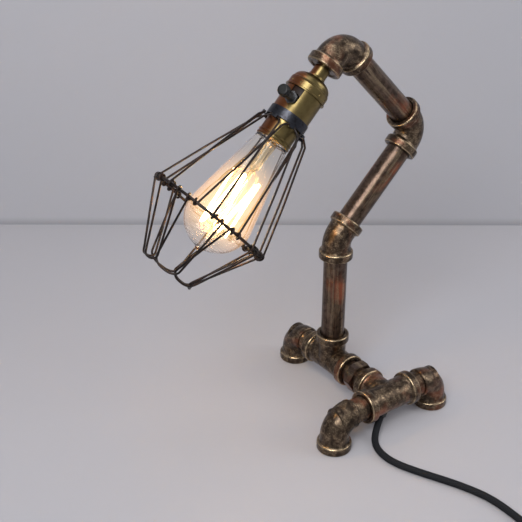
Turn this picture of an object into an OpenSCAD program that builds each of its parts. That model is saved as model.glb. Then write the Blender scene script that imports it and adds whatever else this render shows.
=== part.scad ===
// Industrial pipe table lamp: malleable pipe fittings and pipes, a switched lamp
// holder, a wire bulb cage and a long filament bulb. Millimetres, +Z up. The origin
// is on the table, under the middle of the lamp.

/* [Pipes and fittings] */
// Outside diameter of the pipes
pipe_od = 21.3; // [20:0.1:22]
// Inside diameter of the pipes and of the bends
pipe_bore = 16; // [14:0.5:17]
// Length of the vertical pipe
riser_len = 104; // [70:1:200]
// Length of the pipe that leans outward
middle_len = 101.5; // [70:1:200]
// Length of the pipe that leans back
upper_len = 100.5; // [70:1:200]
// How far a pipe screws into a fitting
thread_in = 12.7; // [10:0.1:15]
// Room between a pipe's end and the bottom of its socket
socket_room = 0.5; // [0.4:0.1:1]
// Centre of a tee to the end of its pipe
tee_lead = 15.3; // [14:0.1:20]
// Centre of a right-angle elbow to the end of its pipe
elbow_lead = 12.8; // [12.3:0.1:18]
// Centre of the 45 degree elbow to the end of its pipe
bend_lead = 6.3; // [5.8:0.1:12]
// Wall of a fitting round its pipe
body_wall = 2.15; // [1.6:0.05:3]
// How far a band stands out from that wall
band_step = 2.4; // [1.6:0.1:4]
// Width of the bands
band_w = 7.6; // [5:0.1:10]
// Radial gap between a thread and its socket
thread_gap = 0.05; // [0.03:0.01:0.1]

/* [Base] */
// Length of the hexagon nipple between the tees
hex_len = 44; // [40:1:60]
// Width of its hexagon along the nipple
hex_w = 9; // [6:0.5:12]
// Size of its hexagon across the flats
hex_af = 26; // [24:0.5:30]
// How far it screws into each tee
hex_in = 11.5; // [9:0.1:12.5]
// Centre to end of a foot elbow's male leg
foot_leg = 37; // [34:0.5:45]
// How far the rear and the right foot screw into their tees
foot_in = 10; // [6:0.1:12.5]
// How far the left foot screws into its tee
left_foot_in = 6.4; // [6:0.1:12.5]
// Where a foot's male thread begins, from the elbow's centre
foot_shoulder = 18; // [17:0.5:20]

/* [Lamp holder] */
// Turn of the top elbow on the upper pipe
head_turn = 1; // [-45:0.5:45]
// Outside diameter of the hollow lamp nipple
nipple_d = 10; // [9:0.5:10]
// Outside diameter of the cap's neck
neck_d = 13.6; // [13:0.1:15]
// Length of the cap's neck that shows below the elbow
neck_len = 8.9; // [5:0.1:14]
// Height of the cap's dome
dome_h = 9; // [8:0.5:14]
// Height of the cap's skirt
skirt_h = 7.9; // [7:0.1:10]
// How far the holder's wide upper part stands out from the narrow lower part
shell_step = 1.9; // [1.5:0.1:3]
// Length of the upper part below the cap's skirt
shell_h = 25; // [24:0.5:30]
// Room between the bulb's screw shell and the narrow lower part
skirt_room = 0.4; // [0.3:0.1:1]
// Length of the narrow lower part
socket_h = 20.5; // [19:0.5:24]
// Thickness of the pressed brass
sheet = 0.5; // [0.4:0.05:0.6]
// Direction of the switch knob round the holder
switch_at = -25.5; // [-40:0.5:40]
// Lean of the switch's stem towards the bulb, in degrees
switch_lean = 7; // [0:0.5:8]
// Diameter of the switch knob
knob_d = 9.6; // [8:0.1:12]
// Length of the switch knob
knob_l = 7; // [6:0.5:12]
// Distance from the holder's axis to the knob
knob_reach = 32.8; // [28:0.1:36]

/* [Bulb] */
// Diameter of the bulb
bulb_d = 56; // [50:0.5:60]
// Length of the glass below the holder
bulb_h = 103.6; // [90:0.1:110]
// Diameter of the glass where it leaves the holder
bulb_neck = 29.6; // [28:0.5:32]
// Thickness of the glass
glass = 0.9; // [0.8:0.1:1.2]
// Diameter of the bulb's screw cap
cap_d = 26.2; // [26:0.05:26.3]
// Strands of the filament, two to each hairpin
strands = 10; // [6:2:12]

/* [Cage] */
// Wire hairpins round the cage, and petals below them
cage_sides = 7; // [6:1:8]
// Diameter of the wire
wire_d = 1.8; // [1.5:0.1:2]
// Diameter of the ring's rod
ring_d = 2.4; // [2:0.1:3]
// Radius of the ring, to the middle of its rod
ring_r = 51.5; // [46:0.5:58]
// Distance from the collar's lower edge to the ring
ring_drop = 94.3; // [85:0.5:110]
// Distance from the ring to the cage's mouth
mouth_drop = 54; // [45:0.5:65]
// Radius of the mouth
mouth_r = 22.5; // [22:0.5:30]
// Sideways lean of the cage below its collar, in degrees
cage_lean = 4; // [0:0.5:5]
// Direction of that lean round the holder
lean_at = 44; // [0:1:90]
// Height of the clamping collar
collar_h = 7.9; // [6:0.1:9]

/* [Cord] */
// Diameter of the cord
cord_d = 6; // [5:0.1:6]
// Turns of the coil in each of its two layers
coil_turns = 3; // [1:1:4]
// Inside radius of the coil, to the middle of the cord
coil_in = 24.6; // [24:0.1:30]

/* [Hidden] */
$fn = 64;

iron = [0.30, 0.24, 0.19];
bronze = [0.40, 0.31, 0.22];
brass = [0.62, 0.53, 0.30];
dark_wire = [0.14, 0.12, 0.11];
black = [0.08, 0.08, 0.08];

// Small clearances
seat_gap = 0.1;      // between pieces of one body that seat on each other
screw_gap = 0.1;     // between the bulb's cap and its screw shell
screw_sheet = 0.3;   // thickness of the screw shell
eps = 0.4;           // overlap of solids that are joined into one

// Fittings
pipe_r = pipe_od/2;
bore_r = pipe_bore/2;
body_r = pipe_r + body_wall;
band_r = body_r + band_step;
socket_r = pipe_r + thread_gap;
socket_depth = thread_in + socket_room;
tee_a = tee_lead + thread_in;        // centre to face
elbow_a = elbow_lead + thread_in;
bend_a = bend_lead + thread_in;
flow_r = 16;         // centreline radius of the right-angle bends
flow_r45 = 20;       // centreline radius of the 45 degree bend
flex_part = flow_r + 1;      // where the wiring is parted, from a bend's centre

// Places of the fittings' centres
riser_at = [48, 11];
axis_h = tee_a;
base_span = 2*tee_a + hex_len - 2*hex_in;
foot_span = tee_a + foot_leg - foot_in;
left_span = tee_a + foot_leg - left_foot_in;
riser_run = tee_a + bend_a + riser_len - 2*thread_in;
middle_run = bend_a + elbow_a + middle_len - 2*thread_in;
upper_run = 2*elbow_a + upper_len - 2*thread_in;

// Heights along the holder's axis, from the top elbow's centre
bush_l = 12;
bush_face = elbow_a - 0.8;
neck_top = elbow_a + 0.3;
dome_top = elbow_a + neck_len;
bead_at = dome_top + dome_h;
cap_end = bead_at + skirt_h;
shoulder_at = cap_end + shell_h;
shoulder_h = 2.4;
socket_end = shoulder_at + shoulder_h + socket_h - 2.4;
skirt_r = cap_d/2 + screw_gap + screw_sheet + skirt_room + sheet;
shell_r = skirt_r + shell_step;
cap_sheet = 0.8;
switch_z = cap_end + 8.6;
block_top = bead_at + 2.5;
block_end = socket_end - 28.6;
block_r = shell_r - 2*sheet - 0.35;

// Collar and cage
collar_r = shell_r + 0.1;
collar_t = 0.8;
collar_end = shoulder_at + 3.2;
collar_top = collar_end - collar_h;
clamp_at = 134;      // the clamp faces away from the knob
hook_r = collar_r + collar_t + 1.4;
hook_z = collar_end + 0.8;
bow_h = 6;           // height of a hairpin's bow
bow_flare = 4.6;     // how far its legs stand out from its top
bow_span = 20;       // half angle of a hairpin's bow
ring_z = collar_end + ring_drop;
mouth_z = ring_z + mouth_drop;
wrap_r = (ring_d + wire_d)/2 + 0.1;
wrap_step = 2.7;     // advance of a wrap along the ring for a full turn
wrap_turn = 300;
hand_bend = 6;       // how far the hairpins are off an even spacing, in degrees
side_from = -66;

// Bulb
cap_r = cap_d/2;
neck_in = cap_r - 0.9 - glass;       // bore of the glass inside the screw cap
screw_in = cap_r + screw_gap;
glass_top = socket_end + 0.6;
ball_r = bulb_d/2;
ball_z = glass_top + bulb_h - ball_r - 2.6;
cap_top = socket_end - 22.5;

// Cord
cord_r = cord_d/2;
flex_r = cord_r - 0.25;
grommet_dir = [-0.66, -0.28, -0.697];
grommet_from = [50, 11 - 77, 28];
grommet_in = 8.6;    // the grommet's inner end along its axis
grommet_out = 18.85; // its outer end, where the cord begins
coil_at = [0, -306];
coil_pitch = 7.5;    // between turns that lie beside each other
layer_h = cord_d + 0.7;
coil_out = coil_in + coil_turns*coil_pitch;
cord_points = [
    [37.5, -71.3, 14.8], [34.4, -72.7, 11.4], [31.2, -74.4, 8.5], [27.7, -76.8, 6],
    [24.2, -79.8, 4.2], [21, -83.4, 3.2], [18.2, -87.6, 3], [16, -92.4, 3],
    [14.6, -97.6, 3], [14, -103, 3], [14.2, -109, 3], [15.3, -115, 3],
    [17.3, -121.5, 3], [20, -128, 3], [23.2, -135, 3], [26.6, -142, 3],
    [30.2, -149, 3], [34, -156.5, 3], [37.6, -164, 3], [41, -172, 3],
    [44, -180, 3], [46.4, -188, 3], [48, -197, 3], [48.6, -206, 3],
    [48.6, -216, 3], [48.2, -228, 3], [47.7, -242, 3], [47.3, -258, 3],
    [47.1, -274, 3], [47.1, -287, 3], [47.1, -300, 3]
];
tail_points = [
    [-47.1, -300, 9.7], [-47.1, -293, 9.7], [-47.1, -285, 8.6], [-47.2, -276, 6.2],
    [-47.7, -267, 4.1], [-49, -257, 3.1], [-51.6, -246, 3.2], [-55.2, -236, 4.1],
    [-59.4, -227, 5.6], [-63.8, -218.7, 6.8], [-67.9, -211.8, 7], [-71, -206.6, 7]
];

// ---------- Frames ----------

module at_rear_tee() translate([riser_at.x, riser_at.y, axis_h]) children();

module at_front_tee() at_rear_tee() translate([0, -base_span, 0]) children();

module at_lower_elbow() at_rear_tee() translate([0, 0, riser_run]) children();

// +Z runs along the middle pipe
module along_middle() at_lower_elbow() rotate([0, 45, 0]) children();

module at_middle_elbow() along_middle() translate([0, 0, middle_run]) children();

// +Z runs along the upper pipe
module along_upper() at_middle_elbow() rotate([0, -90, 0]) children();

module at_top_elbow() along_upper() translate([0, 0, upper_run])
    rotate([0, 0, head_turn]) children();

// +Z runs along the lamp holder, out of the top elbow
module along_head() at_top_elbow() rotate([0, -90, 0]) children();

// +Z runs out of the holder along the switch's stem
module along_switch() along_head() translate([0, 0, switch_z]) switch_axis() children();

module switch_axis() rotate([0, 0, switch_at]) rotate([0, 90 - switch_lean, 0]) children();

// ---------- Fittings ----------

function arc(x, z, r, from, to, steps = 5) = [
    for (i = [0:steps]) let (a = from + (to - from)*i/steps) [x + r*cos(a), z + r*sin(a)]
];

// Solid round end of a fitting, from near the bend to its face at a
module fitting_end(a, from) {
    edge = 1.4;
    rotate_extrude() polygon(concat(
        [[0, from], [body_r, from], [body_r, a - band_w - 1.6]],
        [[body_r + 0.5, a - band_w - 0.5]],
        arc(band_r - edge, a - band_w + edge, edge, -70, 0),
        arc(band_r - edge, a - edge, edge, 0, 90),
        [[0, a]]
    ));
}

// The socket's bore and the way through to the bend
module socket_void(a, from) {
    translate([0, 0, a - socket_depth]) cylinder(r = socket_r, h = socket_depth + 1);
    translate([0, 0, a - 1.2]) cylinder(r1 = socket_r - 0.02, r2 = socket_r + 1.2, h = 1.3);
    translate([0, 0, from - eps]) cylinder(r = bore_r - 0.15, h = a - from);
}

// A round bar bent from -Z towards +X about a centre on +X
module bend(r, angle, flow) {
    reach = flow*tan(angle/2);
    translate([flow, 0, -reach]) rotate([90, 0, 0]) rotate([0, 0, 180 - angle])
        rotate_extrude(angle = angle, $fn = 96) translate([flow, 0]) circle(r = r);
}

module elbow(angle, a, flow) {
    reach = flow*tan(angle/2);
    difference() {
        union() {
            bend(body_r - 0.15, angle, flow);
            rotate([180, 0, 0]) fitting_end(a, reach - eps);
            rotate([0, angle, 0]) fitting_end(a, reach - eps);
        }
        bend(bore_r, angle, flow);
        rotate([180, 0, 0]) socket_void(a, reach);
        rotate([0, angle, 0]) socket_void(a, reach);
    }
}

// Run along X, branch along +Z
module tee() {
    difference() {
        union() {
            rotate([0, 90, 0]) translate([0, 0, -tee_a/2]) cylinder(r = body_r - 0.1, h = tee_a);
            for (side = [-90, 90]) rotate([0, side, 0]) fitting_end(tee_a, tee_a/3);
            fitting_end(tee_a, 0);
        }
        rotate([0, 90, 0]) translate([0, 0, -tee_a]) cylinder(r = bore_r + 0.2, h = 2*tee_a);
        for (side = [-90, 90]) rotate([0, side, 0]) socket_void(tee_a, tee_a/2);
        socket_void(tee_a, eps);
    }
}

// Female socket down, male thread along +X
module foot_elbow() {
    reach = flow_r;
    difference() {
        union() {
            bend(body_r - 0.15, 90, flow_r);
            rotate([180, 0, 0]) fitting_end(tee_a, reach - eps);
            rotate([0, 90, 0]) {
                translate([0, 0, reach - eps]) cylinder(r = body_r, h = foot_shoulder - reach + eps - 1);
                translate([0, 0, foot_shoulder - 1 - 0.01])
                    cylinder(r1 = body_r - 0.01, r2 = body_r - 1, h = 1.01);
                cylinder(r = pipe_r - 0.05, h = foot_leg - 1);
                translate([0, 0, foot_leg - 1.1]) cylinder(r1 = pipe_r - 0.1, r2 = pipe_r - 1, h = 1.1);
            }
        }
        bend(bore_r - 0.5, 90, flow_r);
        rotate([180, 0, 0]) socket_void(tee_a, reach);
        rotate([0, 90, 0]) translate([0, 0, reach - eps]) cylinder(r = bore_r - 0.7, h = foot_leg);
    }
}

module pipe(length) difference() {
    rotate_extrude() polygon([
        [bore_r - 1, 0], [pipe_r - 0.8, 0], [pipe_r, 0.8],
        [pipe_r, length - 0.8], [pipe_r - 0.8, length], [bore_r - 1, length]
    ]);
    translate([0, 0, -1]) cylinder(r = bore_r, h = length + 2);
}

// ---------- Base ----------

module base_tee_rear() color(iron) at_rear_tee() rotate([0, 0, 90]) tee();

module grommet_axis() {
    heading = atan2(grommet_dir.y, grommet_dir.x);
    drop = acos(grommet_dir.z/norm(grommet_dir));
    translate(grommet_from) rotate([0, drop, heading]) children();
}

module base_tee_front() color(bronze) difference() {
    at_front_tee() rotate([-90, 0, 0]) tee();
    grommet_axis() translate([0, 0, 5]) cylinder(r = cord_r + 1.6, h = 20);
}

module cord_grommet() color(black) grommet_axis() translate([0, 0, grommet_in]) difference() {
    length = grommet_out - grommet_in;
    union() {
        cylinder(r = cord_r + 1.5, h = length - 0.8);
        translate([0, 0, length - 1.2]) cylinder(r1 = cord_r + 1.4, r2 = cord_r + 0.9, h = 1.2);
    }
    translate([0, 0, -1]) cylinder(r = flex_r + 0.1, h = length + 2);
}

module hex_nipple() color(iron) at_front_tee() rotate([-90, 0, 0])
    translate([0, 0, tee_a - hex_in]) difference() {
        union() {
            translate([0, 0, 0.8]) cylinder(r = pipe_r, h = hex_len - 1.6);
            cylinder(r1 = pipe_r - 0.8, r2 = pipe_r - 0.02, h = 0.9);
            translate([0, 0, hex_len - 0.9]) cylinder(r1 = pipe_r - 0.02, r2 = pipe_r - 0.8, h = 0.9);
            translate([0, 0, (hex_len - hex_w)/2]) intersection() {
                cylinder(d = hex_af/cos(30), h = hex_w, $fn = 6);
                rotate_extrude() polygon([
                    [0, 0], [hex_af/2, 0], [hex_af/2 + 2, 1.2],
                    [hex_af/2 + 2, hex_w - 1.2], [hex_af/2, hex_w], [0, hex_w]
                ]);
            }
        }
        translate([0, 0, -1]) cylinder(r = bore_r - 0.3, h = hex_len + 2);
    }

module foot_elbow_rear() color(bronze) at_rear_tee() translate([0, foot_span, 0])
    rotate([0, 0, -90]) foot_elbow();

module foot_elbow_left() color(bronze) at_front_tee() translate([-left_span, 0, 0]) foot_elbow();

module foot_elbow_right() color(bronze) at_front_tee() translate([foot_span, 0, 0])
    rotate([0, 0, 180]) foot_elbow();

// ---------- Column and arm ----------

module riser_pipe() color(iron) at_rear_tee() translate([0, 0, tee_lead])
    pipe(riser_len);

module lower_elbow_45() color(bronze) at_lower_elbow() elbow(45, bend_a, flow_r45);

module middle_pipe() color(iron) along_middle() translate([0, 0, bend_lead])
    pipe(middle_len);

module middle_elbow() color(bronze) at_middle_elbow() mirror([1, 0, 0])
    elbow(90, elbow_a, flow_r);

module upper_pipe() color(iron) along_upper() translate([0, 0, elbow_lead]) pipe(upper_len);

module top_elbow() color(bronze) at_top_elbow() mirror([1, 0, 0]) elbow(90, elbow_a, flow_r);

// ---------- Wiring inside the pipes ----------

module flex(from, to) translate([0, 0, from]) cylinder(r = flex_r, h = to - from);

module flex_base() color(black) {
    joint_r = flex_r + 0.06;
    side_run = 8;
    cross_run = 2;
    shift = grommet_from.x - riser_at.x;
    grommet_axis() flex(0, grommet_out);
    translate(grommet_from) {
        sphere(r = joint_r);
        rotate([-90, 0, 0]) flex(0, side_run);
        translate([0, side_run, 0]) {
            sphere(r = joint_r);
            rotate([-90, 0, atan2(shift, cross_run)])
                cylinder(r = flex_r - 0.04, h = norm([shift, cross_run]));
        }
    }
    at_front_tee() translate([0, side_run + cross_run, 0]) {
        sphere(r = joint_r);
        rotate([-90, 0, 0]) flex(0, base_span - side_run - cross_run - flow_r + eps);
    }
    at_rear_tee() {
        rotate([0, -90, -90]) bend(flex_r - 0.05, 90, flow_r);
        flex(flow_r - eps, flex_part);
    }
}

module flex_bend(angle, flow, from, to) {
    reach = flow*tan(angle/2);
    bend(flex_r - 0.05, angle, flow);
    rotate([180, 0, 0]) flex(reach - eps, from);
    rotate([0, angle, 0]) flex(reach - eps, to);
}

module flex_column() color(black) at_lower_elbow()
    flex_bend(45, flow_r45, riser_run - flex_part, middle_run - flex_part);

module flex_arm() color(black) at_middle_elbow() mirror([1, 0, 0])
    flex_bend(90, flow_r, flex_part, upper_run - flex_part);

module flex_head() color(black) at_top_elbow() mirror([1, 0, 0])
    flex_bend(90, flow_r, flex_part, block_top);

// ---------- Lamp holder ----------

module top_bush() color(iron) along_head() difference() {
    translate([0, 0, bush_face - bush_l]) cylinder(r = pipe_r, h = bush_l);
    translate([0, 0, bush_face - bush_l - 1]) cylinder(d = nipple_d + 0.1, h = bush_l + 2);
}

module lamp_nipple() color(brass) along_head() translate([0, 0, bush_face - bush_l + 1])
    difference() {
        cylinder(d = nipple_d, h = dome_top + 5.5 - (bush_face - bush_l + 1));
        translate([0, 0, -1]) cylinder(r = flex_r + 0.45, h = 60);
    }

module nipple_nut() color("silver") along_head() translate([0, 0, dome_top + 2.4]) difference() {
    cylinder(d = 14/cos(30), h = 2.5, $fn = 6);
    translate([0, 0, -1]) cylinder(d = nipple_d + 0.1, h = 5);
}

// Outline of the cap, grown inward by t
function cap_outline(t) = concat(
    [[neck_d/2 - t, neck_top + (t > 0 ? -1 : 0)], [neck_d/2 - t, dome_top - 0.6 + t]],
    arc(neck_d/2 + 0.6, dome_top + 0.6 + t, 1.2 - (t > 0 ? 0.6 : 0), 200, 262, 3),
    [for (i = [1:7]) let (a = 90 - 12.4*i)
        [5.4 + (shell_r - 5.4 - t)*cos(a), bead_at - (dome_h - 0.8 - t)*sin(a)]]
);

module holder_cap() color(brass) along_head() {
    lip = shell_r + 1.6;
    wall = shell_r + 0.9;
    difference() {
        rotate_extrude() polygon(concat(
            [[nipple_d/2 + 0.05, neck_top]],
            cap_outline(0),
            [[shell_r + 0.4, bead_at], [shell_r + 0.7, bead_at + 0.4], [shell_r + 0.4, bead_at + 0.9]],
            [[wall, bead_at + 1.6], [wall, cap_end - 1.4], [lip, cap_end - 0.8], [lip, cap_end]],
            [[shell_r + seat_gap, cap_end], [shell_r + seat_gap, bead_at + 0.6]],
            [for (i = [7:-1:1]) let (a = 90 - 12.4*i)
                [5.4 + (shell_r - 6.2)*cos(a), bead_at + 0.2 - (dome_h - 1.8)*sin(a)]],
            [[nipple_d/2 + 0.05, dome_top + 1.9]]
        ));
        for (i = [0:11]) rotate([0, 0, 30*i + 8]) translate([wall + 0.55, 0, cap_end - 3.6])
            sphere(r = 1.1, $fn = 24);
        rotate([0, 0, clamp_at]) translate([0, 0, neck_top + 2.6]) rotate([0, 90, 0])
            cylinder(d = 3.1, h = 12, $fn = 32);
    }
}

module cap_grub_screw() color("silver") along_head() rotate([0, 0, clamp_at])
    translate([nipple_d/2 + 0.1, 0, neck_top + 2.6]) rotate([0, 90, 0]) difference() {
        cylinder(d = 3, h = 3.2, $fn = 32);
        translate([-2, -0.3, 2.4]) cube([4, 0.6, 2]);
    }

// Slot for the switch through the shell or the liner, open at its upper edge
module switch_slot(r) translate([0, 0, switch_z]) switch_axis() translate([0, 0, shell_r - 6]) {
    cylinder(r = r, h = 12);
    translate([0, -r, 0]) cube([30, 2*r, 12]);
}

module holder_shell() color(brass) along_head() difference() {
    bead = 0.55;
    rotate_extrude() polygon(concat(
        [[shell_r - sheet, cap_end - skirt_h + 1.6], [shell_r, cap_end - skirt_h + 1.6]],
        [[shell_r, shoulder_at], [skirt_r + 0.6, shoulder_at + shoulder_h - 0.6]],
        [[skirt_r, shoulder_at + shoulder_h]],
        [[skirt_r, socket_end - 4.8]],
        arc(skirt_r - 0.2, socket_end - 4, 0.8, -70, 70, 6),
        [[skirt_r, socket_end - 3.2], [skirt_r, socket_end - 1.9]],
        arc(skirt_r - 0.2, socket_end - 1.1, 0.9, -70, 80, 6),
        [[skirt_r - bead, socket_end - 0.2], [skirt_r - sheet, socket_end - 0.4]],
        [[skirt_r - sheet, shoulder_at + shoulder_h + 0.3]],
        [[shell_r - sheet, shoulder_at - 0.3]]
    ));
    switch_slot(4.8);
}

module shell_liner() color("tan") along_head() difference() {
    top = bead_at + 2;
    translate([0, 0, top]) cylinder(r = shell_r - sheet - 0.05, h = shoulder_at - 0.6 - top);
    translate([0, 0, top - 1]) cylinder(r = shell_r - 2*sheet, h = shell_h + 20);
    switch_slot(4.8);
}

module switch_block() color("saddlebrown") along_head() difference() {
    translate([0, 0, block_top]) cylinder(r = block_r, h = block_end - block_top);
    translate([0, 0, block_top - 1]) cylinder(r = flex_r + 0.6, h = 4);
    for (side = [-1, 1]) rotate([0, 0, switch_at]) translate([0, side*8.6, block_top - 1])
        cylinder(d = 5, h = 4.4);
    translate([0, 0, switch_z]) switch_axis() cylinder(r = 4.6, h = 30);
    translate([0, 0, switch_z]) switch_axis() translate([0, 0, 10])
        cylinder(r = 5.2, h = 20);
}

module terminal_screws() color(brass) along_head() rotate([0, 0, switch_at])
    for (side = [-1, 1]) translate([0, side*8.6, block_top + 1.2]) difference() {
        cylinder(d = 4.8, h = 2.1);
        translate([-3, -0.35, -1]) cube([6, 0.7, 1.8]);
    }

module screw_shell() color(brass) along_head() difference() {
    top = block_end + seat_gap;
    translate([0, 0, top]) cylinder(r = screw_in + screw_sheet, h = socket_end - 1.2 - top);
    translate([0, 0, top + 0.4]) cylinder(r = screw_in, h = 40);
    translate([0, 0, top - 1]) cylinder(r = 6.5, h = 4);
}

module centre_contact() color(brass) along_head() translate([0, 2.4, block_end + 0.05])
    rotate([90, 0, 0]) linear_extrude(4.8) polygon([
        [-5.5, 0], [-0.5, 0], [1.2, 1.7], [5.2, 2.1], [5.2, 2.5], [0.8, 2.2], [-1, 0.5], [-5.5, 0.5]
    ]);

// ---------- Switch ----------

module switch_bush() color("silver") along_switch() difference() {
    union() {
        translate([0, 0, 10.4]) cylinder(r = 4.4, h = shell_r - 10.4 - 0.5);
        translate([0, 0, shell_r - 3]) cylinder(r = 3.4, h = knob_reach - 0.6 - shell_r + 3);
    }
    cylinder(r = 1.85, h = 60);
}

module switch_nut() color([0.2, 0.2, 0.22]) along_switch() translate([0, 0, shell_r + 1.1])
    difference() {
        cylinder(d = 9.4/cos(30), h = 2.2, $fn = 6);
        translate([0, 0, -1]) cylinder(r = 3.45, h = 6);
    }

module switch_stem() color("silver") along_switch() translate([0, 0, 6.2])
    cylinder(r = 1.8, h = knob_reach - 6.2 + 5.6);

module switch_cam() color("dimgray") along_switch() translate([0, 0, 2]) difference() {
    intersection() {
        cylinder(r = 4.4, h = 8);
        translate([-3.4, -3.4, 0]) cube([6.8, 6.8, 8]);
    }
    translate([0, 0, 4.1]) cylinder(r = 1.85, h = 10);
}

module switch_knob() color(black) along_switch() translate([0, 0, knob_reach]) difference() {
    rotate_extrude() polygon(concat(
        [[0, 0], [knob_d/2 - 0.9, 0], [knob_d/2, 0.9]],
        arc(knob_d/2 - 1.8, knob_l - 1.8, 1.8, 0, 90),
        [[0, knob_l]]
    ));
    translate([0, 0, -1]) cylinder(r = 1.85, h = 6.8);
    for (i = [0:9]) rotate([0, 0, 36*i]) translate([knob_d/2 + 0.5, 0, 1.6])
        cylinder(r = 0.9, h = knob_l, $fn = 20);
}

// ---------- Bulb ----------

module bulb_glass() color([0.95, 0.8, 0.55, 0.4]) along_head() difference() {
    lean = asin((ball_r - bulb_neck/2)/(ball_z - glass_top - 2));
    rotate_extrude($fn = 96) polygon(concat(
        [[0, socket_end - 8], [cap_r - 0.9, socket_end - 8], [cap_r - 0.9, socket_end - 0.8]],
        [[bulb_neck/2 - 0.6, glass_top], [bulb_neck/2, glass_top + 1.2]],
        arc(0, ball_z, ball_r, -lean, 72, 16),
        arc(0, ball_z + ball_r - 1.2, 3.6, 20, 90, 4)
    ));
    rotate_extrude($fn = 96) polygon(concat(
        [[0, socket_end - 9], [neck_in, socket_end - 9], [neck_in, socket_end]],
        [[bulb_neck/2 - glass, glass_top + 1.6]],
        arc(0, ball_z, ball_r - glass, -lean, 86, 16),
        [[0, ball_z + ball_r - glass]]
    ));
}

module bulb_cap() color(brass) along_head() difference() {
    translate([0, 0, cap_top]) cylinder(r = cap_r, h = socket_end - 0.9 - cap_top);
    translate([0, 0, cap_top + 0.4]) cylinder(r = cap_r - 0.5, h = 40);
    translate([0, 0, cap_top - 1]) cylinder(r = 8, h = 4);
}

module bulb_contact() color(black) along_head() rotate_extrude() polygon([
    [0, cap_top - 3.4], [3.6, cap_top - 3.4], [4.8, cap_top - 2.6], [10.6, cap_top - 0.5],
    [10.6, cap_top - 0.05], [7.9, cap_top - 0.05], [7.9, cap_top + 0.6], [0, cap_top + 0.6]
]);

filament_top = glass_top + 34;
filament_end = glass_top + 82;
filament_r = 12.5;

module bulb_stem() color([0.9, 0.85, 0.7, 0.6]) along_head() {
    stem_top = socket_end - 7.5;
    flange_r = neck_in - 0.1;
    rotate_extrude() polygon([
        [0, stem_top], [flange_r, stem_top], [flange_r, stem_top + 0.9], [5.6, stem_top + 7],
        [4.4, glass_top + 17], [4.6, glass_top + 24], [1.8, glass_top + 27],
        [1.2, filament_end - 6], [2.2, filament_end - 3], [0, filament_end - 1.5]
    ]);
    for (i = [0:strands/2 - 1], low = [0, 1]) rotate([0, 0, (i + (low ? 0 : 0.5))*720/strands]) {
        z = low ? filament_end - 3.4 : glass_top + 25;
        rise = low ? 3.4 : filament_top - z;
        reach = filament_r - 0.55;
        translate([0, 0, z]) rotate([0, atan2(reach, rise), 0])
            translate([0, 0, 1]) cylinder(r = 0.25, h = norm([reach, rise]) - 1, $fn = 16);
    }
}

module bulb_filament() color("gold") along_head() wire([
    for (i = [0:strands - 1]) each let (a = 360*i/strands, b = a + 360/strands, up = i%2 == 0) [
        [filament_r*cos(a), filament_r*sin(a), up ? filament_end : filament_top],
        [filament_r*cos(a + 3), filament_r*sin(a + 3), up ? filament_end - 1.2 : filament_top + 1.2],
        [filament_r*cos(b - 3), filament_r*sin(b - 3), up ? filament_top + 1.2 : filament_end - 1.2]
    ]
], 0.3, 6);

// ---------- Wire sweeping ----------

function unit(v) = v/norm(v);

// Direction of a route at each of its points
function headings(p) = [
    for (i = [0:len(p) - 1])
        unit(i == 0 ? p[1] - p[0]
            : i == len(p) - 1 ? p[i] - p[i - 1]
            : unit(p[i] - p[i - 1]) + unit(p[i + 1] - p[i]))
];

function square_to(v, t) = unit(v - t*(v*t));

function any_square(t) = square_to(abs(t.z) < 0.8 ? [0, 0, 1] : [1, 0, 0], t);

// The side direction of each ring, carried along the route without twist
function carried(t) = [
    for (i = 0, n = any_square(t[0]); i < len(t);
         i = i + 1, n = i < len(t) ? square_to(n, t[i]) : n) n
];

// A closed tube of radius r along the points p
module wire(p, r, sides) {
    t = headings(p);
    n = carried(t);
    rings = len(p);
    polyhedron(
        points = [
            for (i = [0:rings - 1], k = [0:sides - 1])
                p[i] + r*(cos(360*k/sides)*n[i] + sin(360*k/sides)*cross(t[i], n[i]))
        ],
        faces = concat(
            [[for (k = [0:sides - 1]) k]],
            [[for (k = [sides - 1:-1:0]) (rings - 1)*sides + k]],
            [for (i = [0:rings - 2], k = [0:sides - 1]) each let (
                a = i*sides + k, b = i*sides + (k + 1)%sides,
                c = a + sides, d = b + sides
            ) [[a, c, b], [b, c, d]]]
        )
    );
}

// ---------- Cage ----------

function around(angle, r, z) = [r*cos(angle), r*sin(angle), z];

// The points p, turned about the collar's lower end by the cage's lean
function leaning(p) = [
    for (q = p) let (
        side = [cos(lean_at), sin(lean_at), 0],
        out = q*side,
        down = q.z - collar_end
    ) q + (out*(cos(cage_lean) - 1) + down*sin(cage_lean))*side
        + [0, 0, down*(cos(cage_lean) - 1) - out*sin(cage_lean)]
];

// Middle angle of each hairpin
function side_at(k) = let (even = 360*k/cage_sides)
    side_from + even - hand_bend*sin(even);

function between(k) = (side_at(k) + side_at(k + 1))/2;

// A wire's wrap round the ring. It starts at angle from on the rod and advances
// along the ring by step
function wrap(angle, from, turn, step) = [
    for (i = [0:abs(turn)/30]) let (
        a = from + sign(turn)*30*i,
        along = step*i*30/360
    ) around(angle, ring_r + wrap_r*cos(a), ring_z + wrap_r*sin(a))
        + along*[-sin(angle), cos(angle), 0]
];

function stub(p, length) = let (n = len(p)) p[n - 1] + length*unit(p[n - 1] - p[n - 2]);

function backward(p) = [for (i = [len(p) - 1:-1:0]) p[i]];

function with_stub(p, length) = concat(p, [stub(p, length)]);

leg_slope = atan2(ring_r - hook_r - bow_flare, ring_z - hook_z - bow_h);
petal_slope = atan2(ring_r - mouth_r, mouth_drop);
cross_span = 8.5;    // how far adjacent legs cross over, at the ring
petal_gap = 5;       // half the angle between adjacent petals, at the ring
bow_skew = 1.1;      // how far a hairpin's legs lie outside and inside its bow

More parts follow.
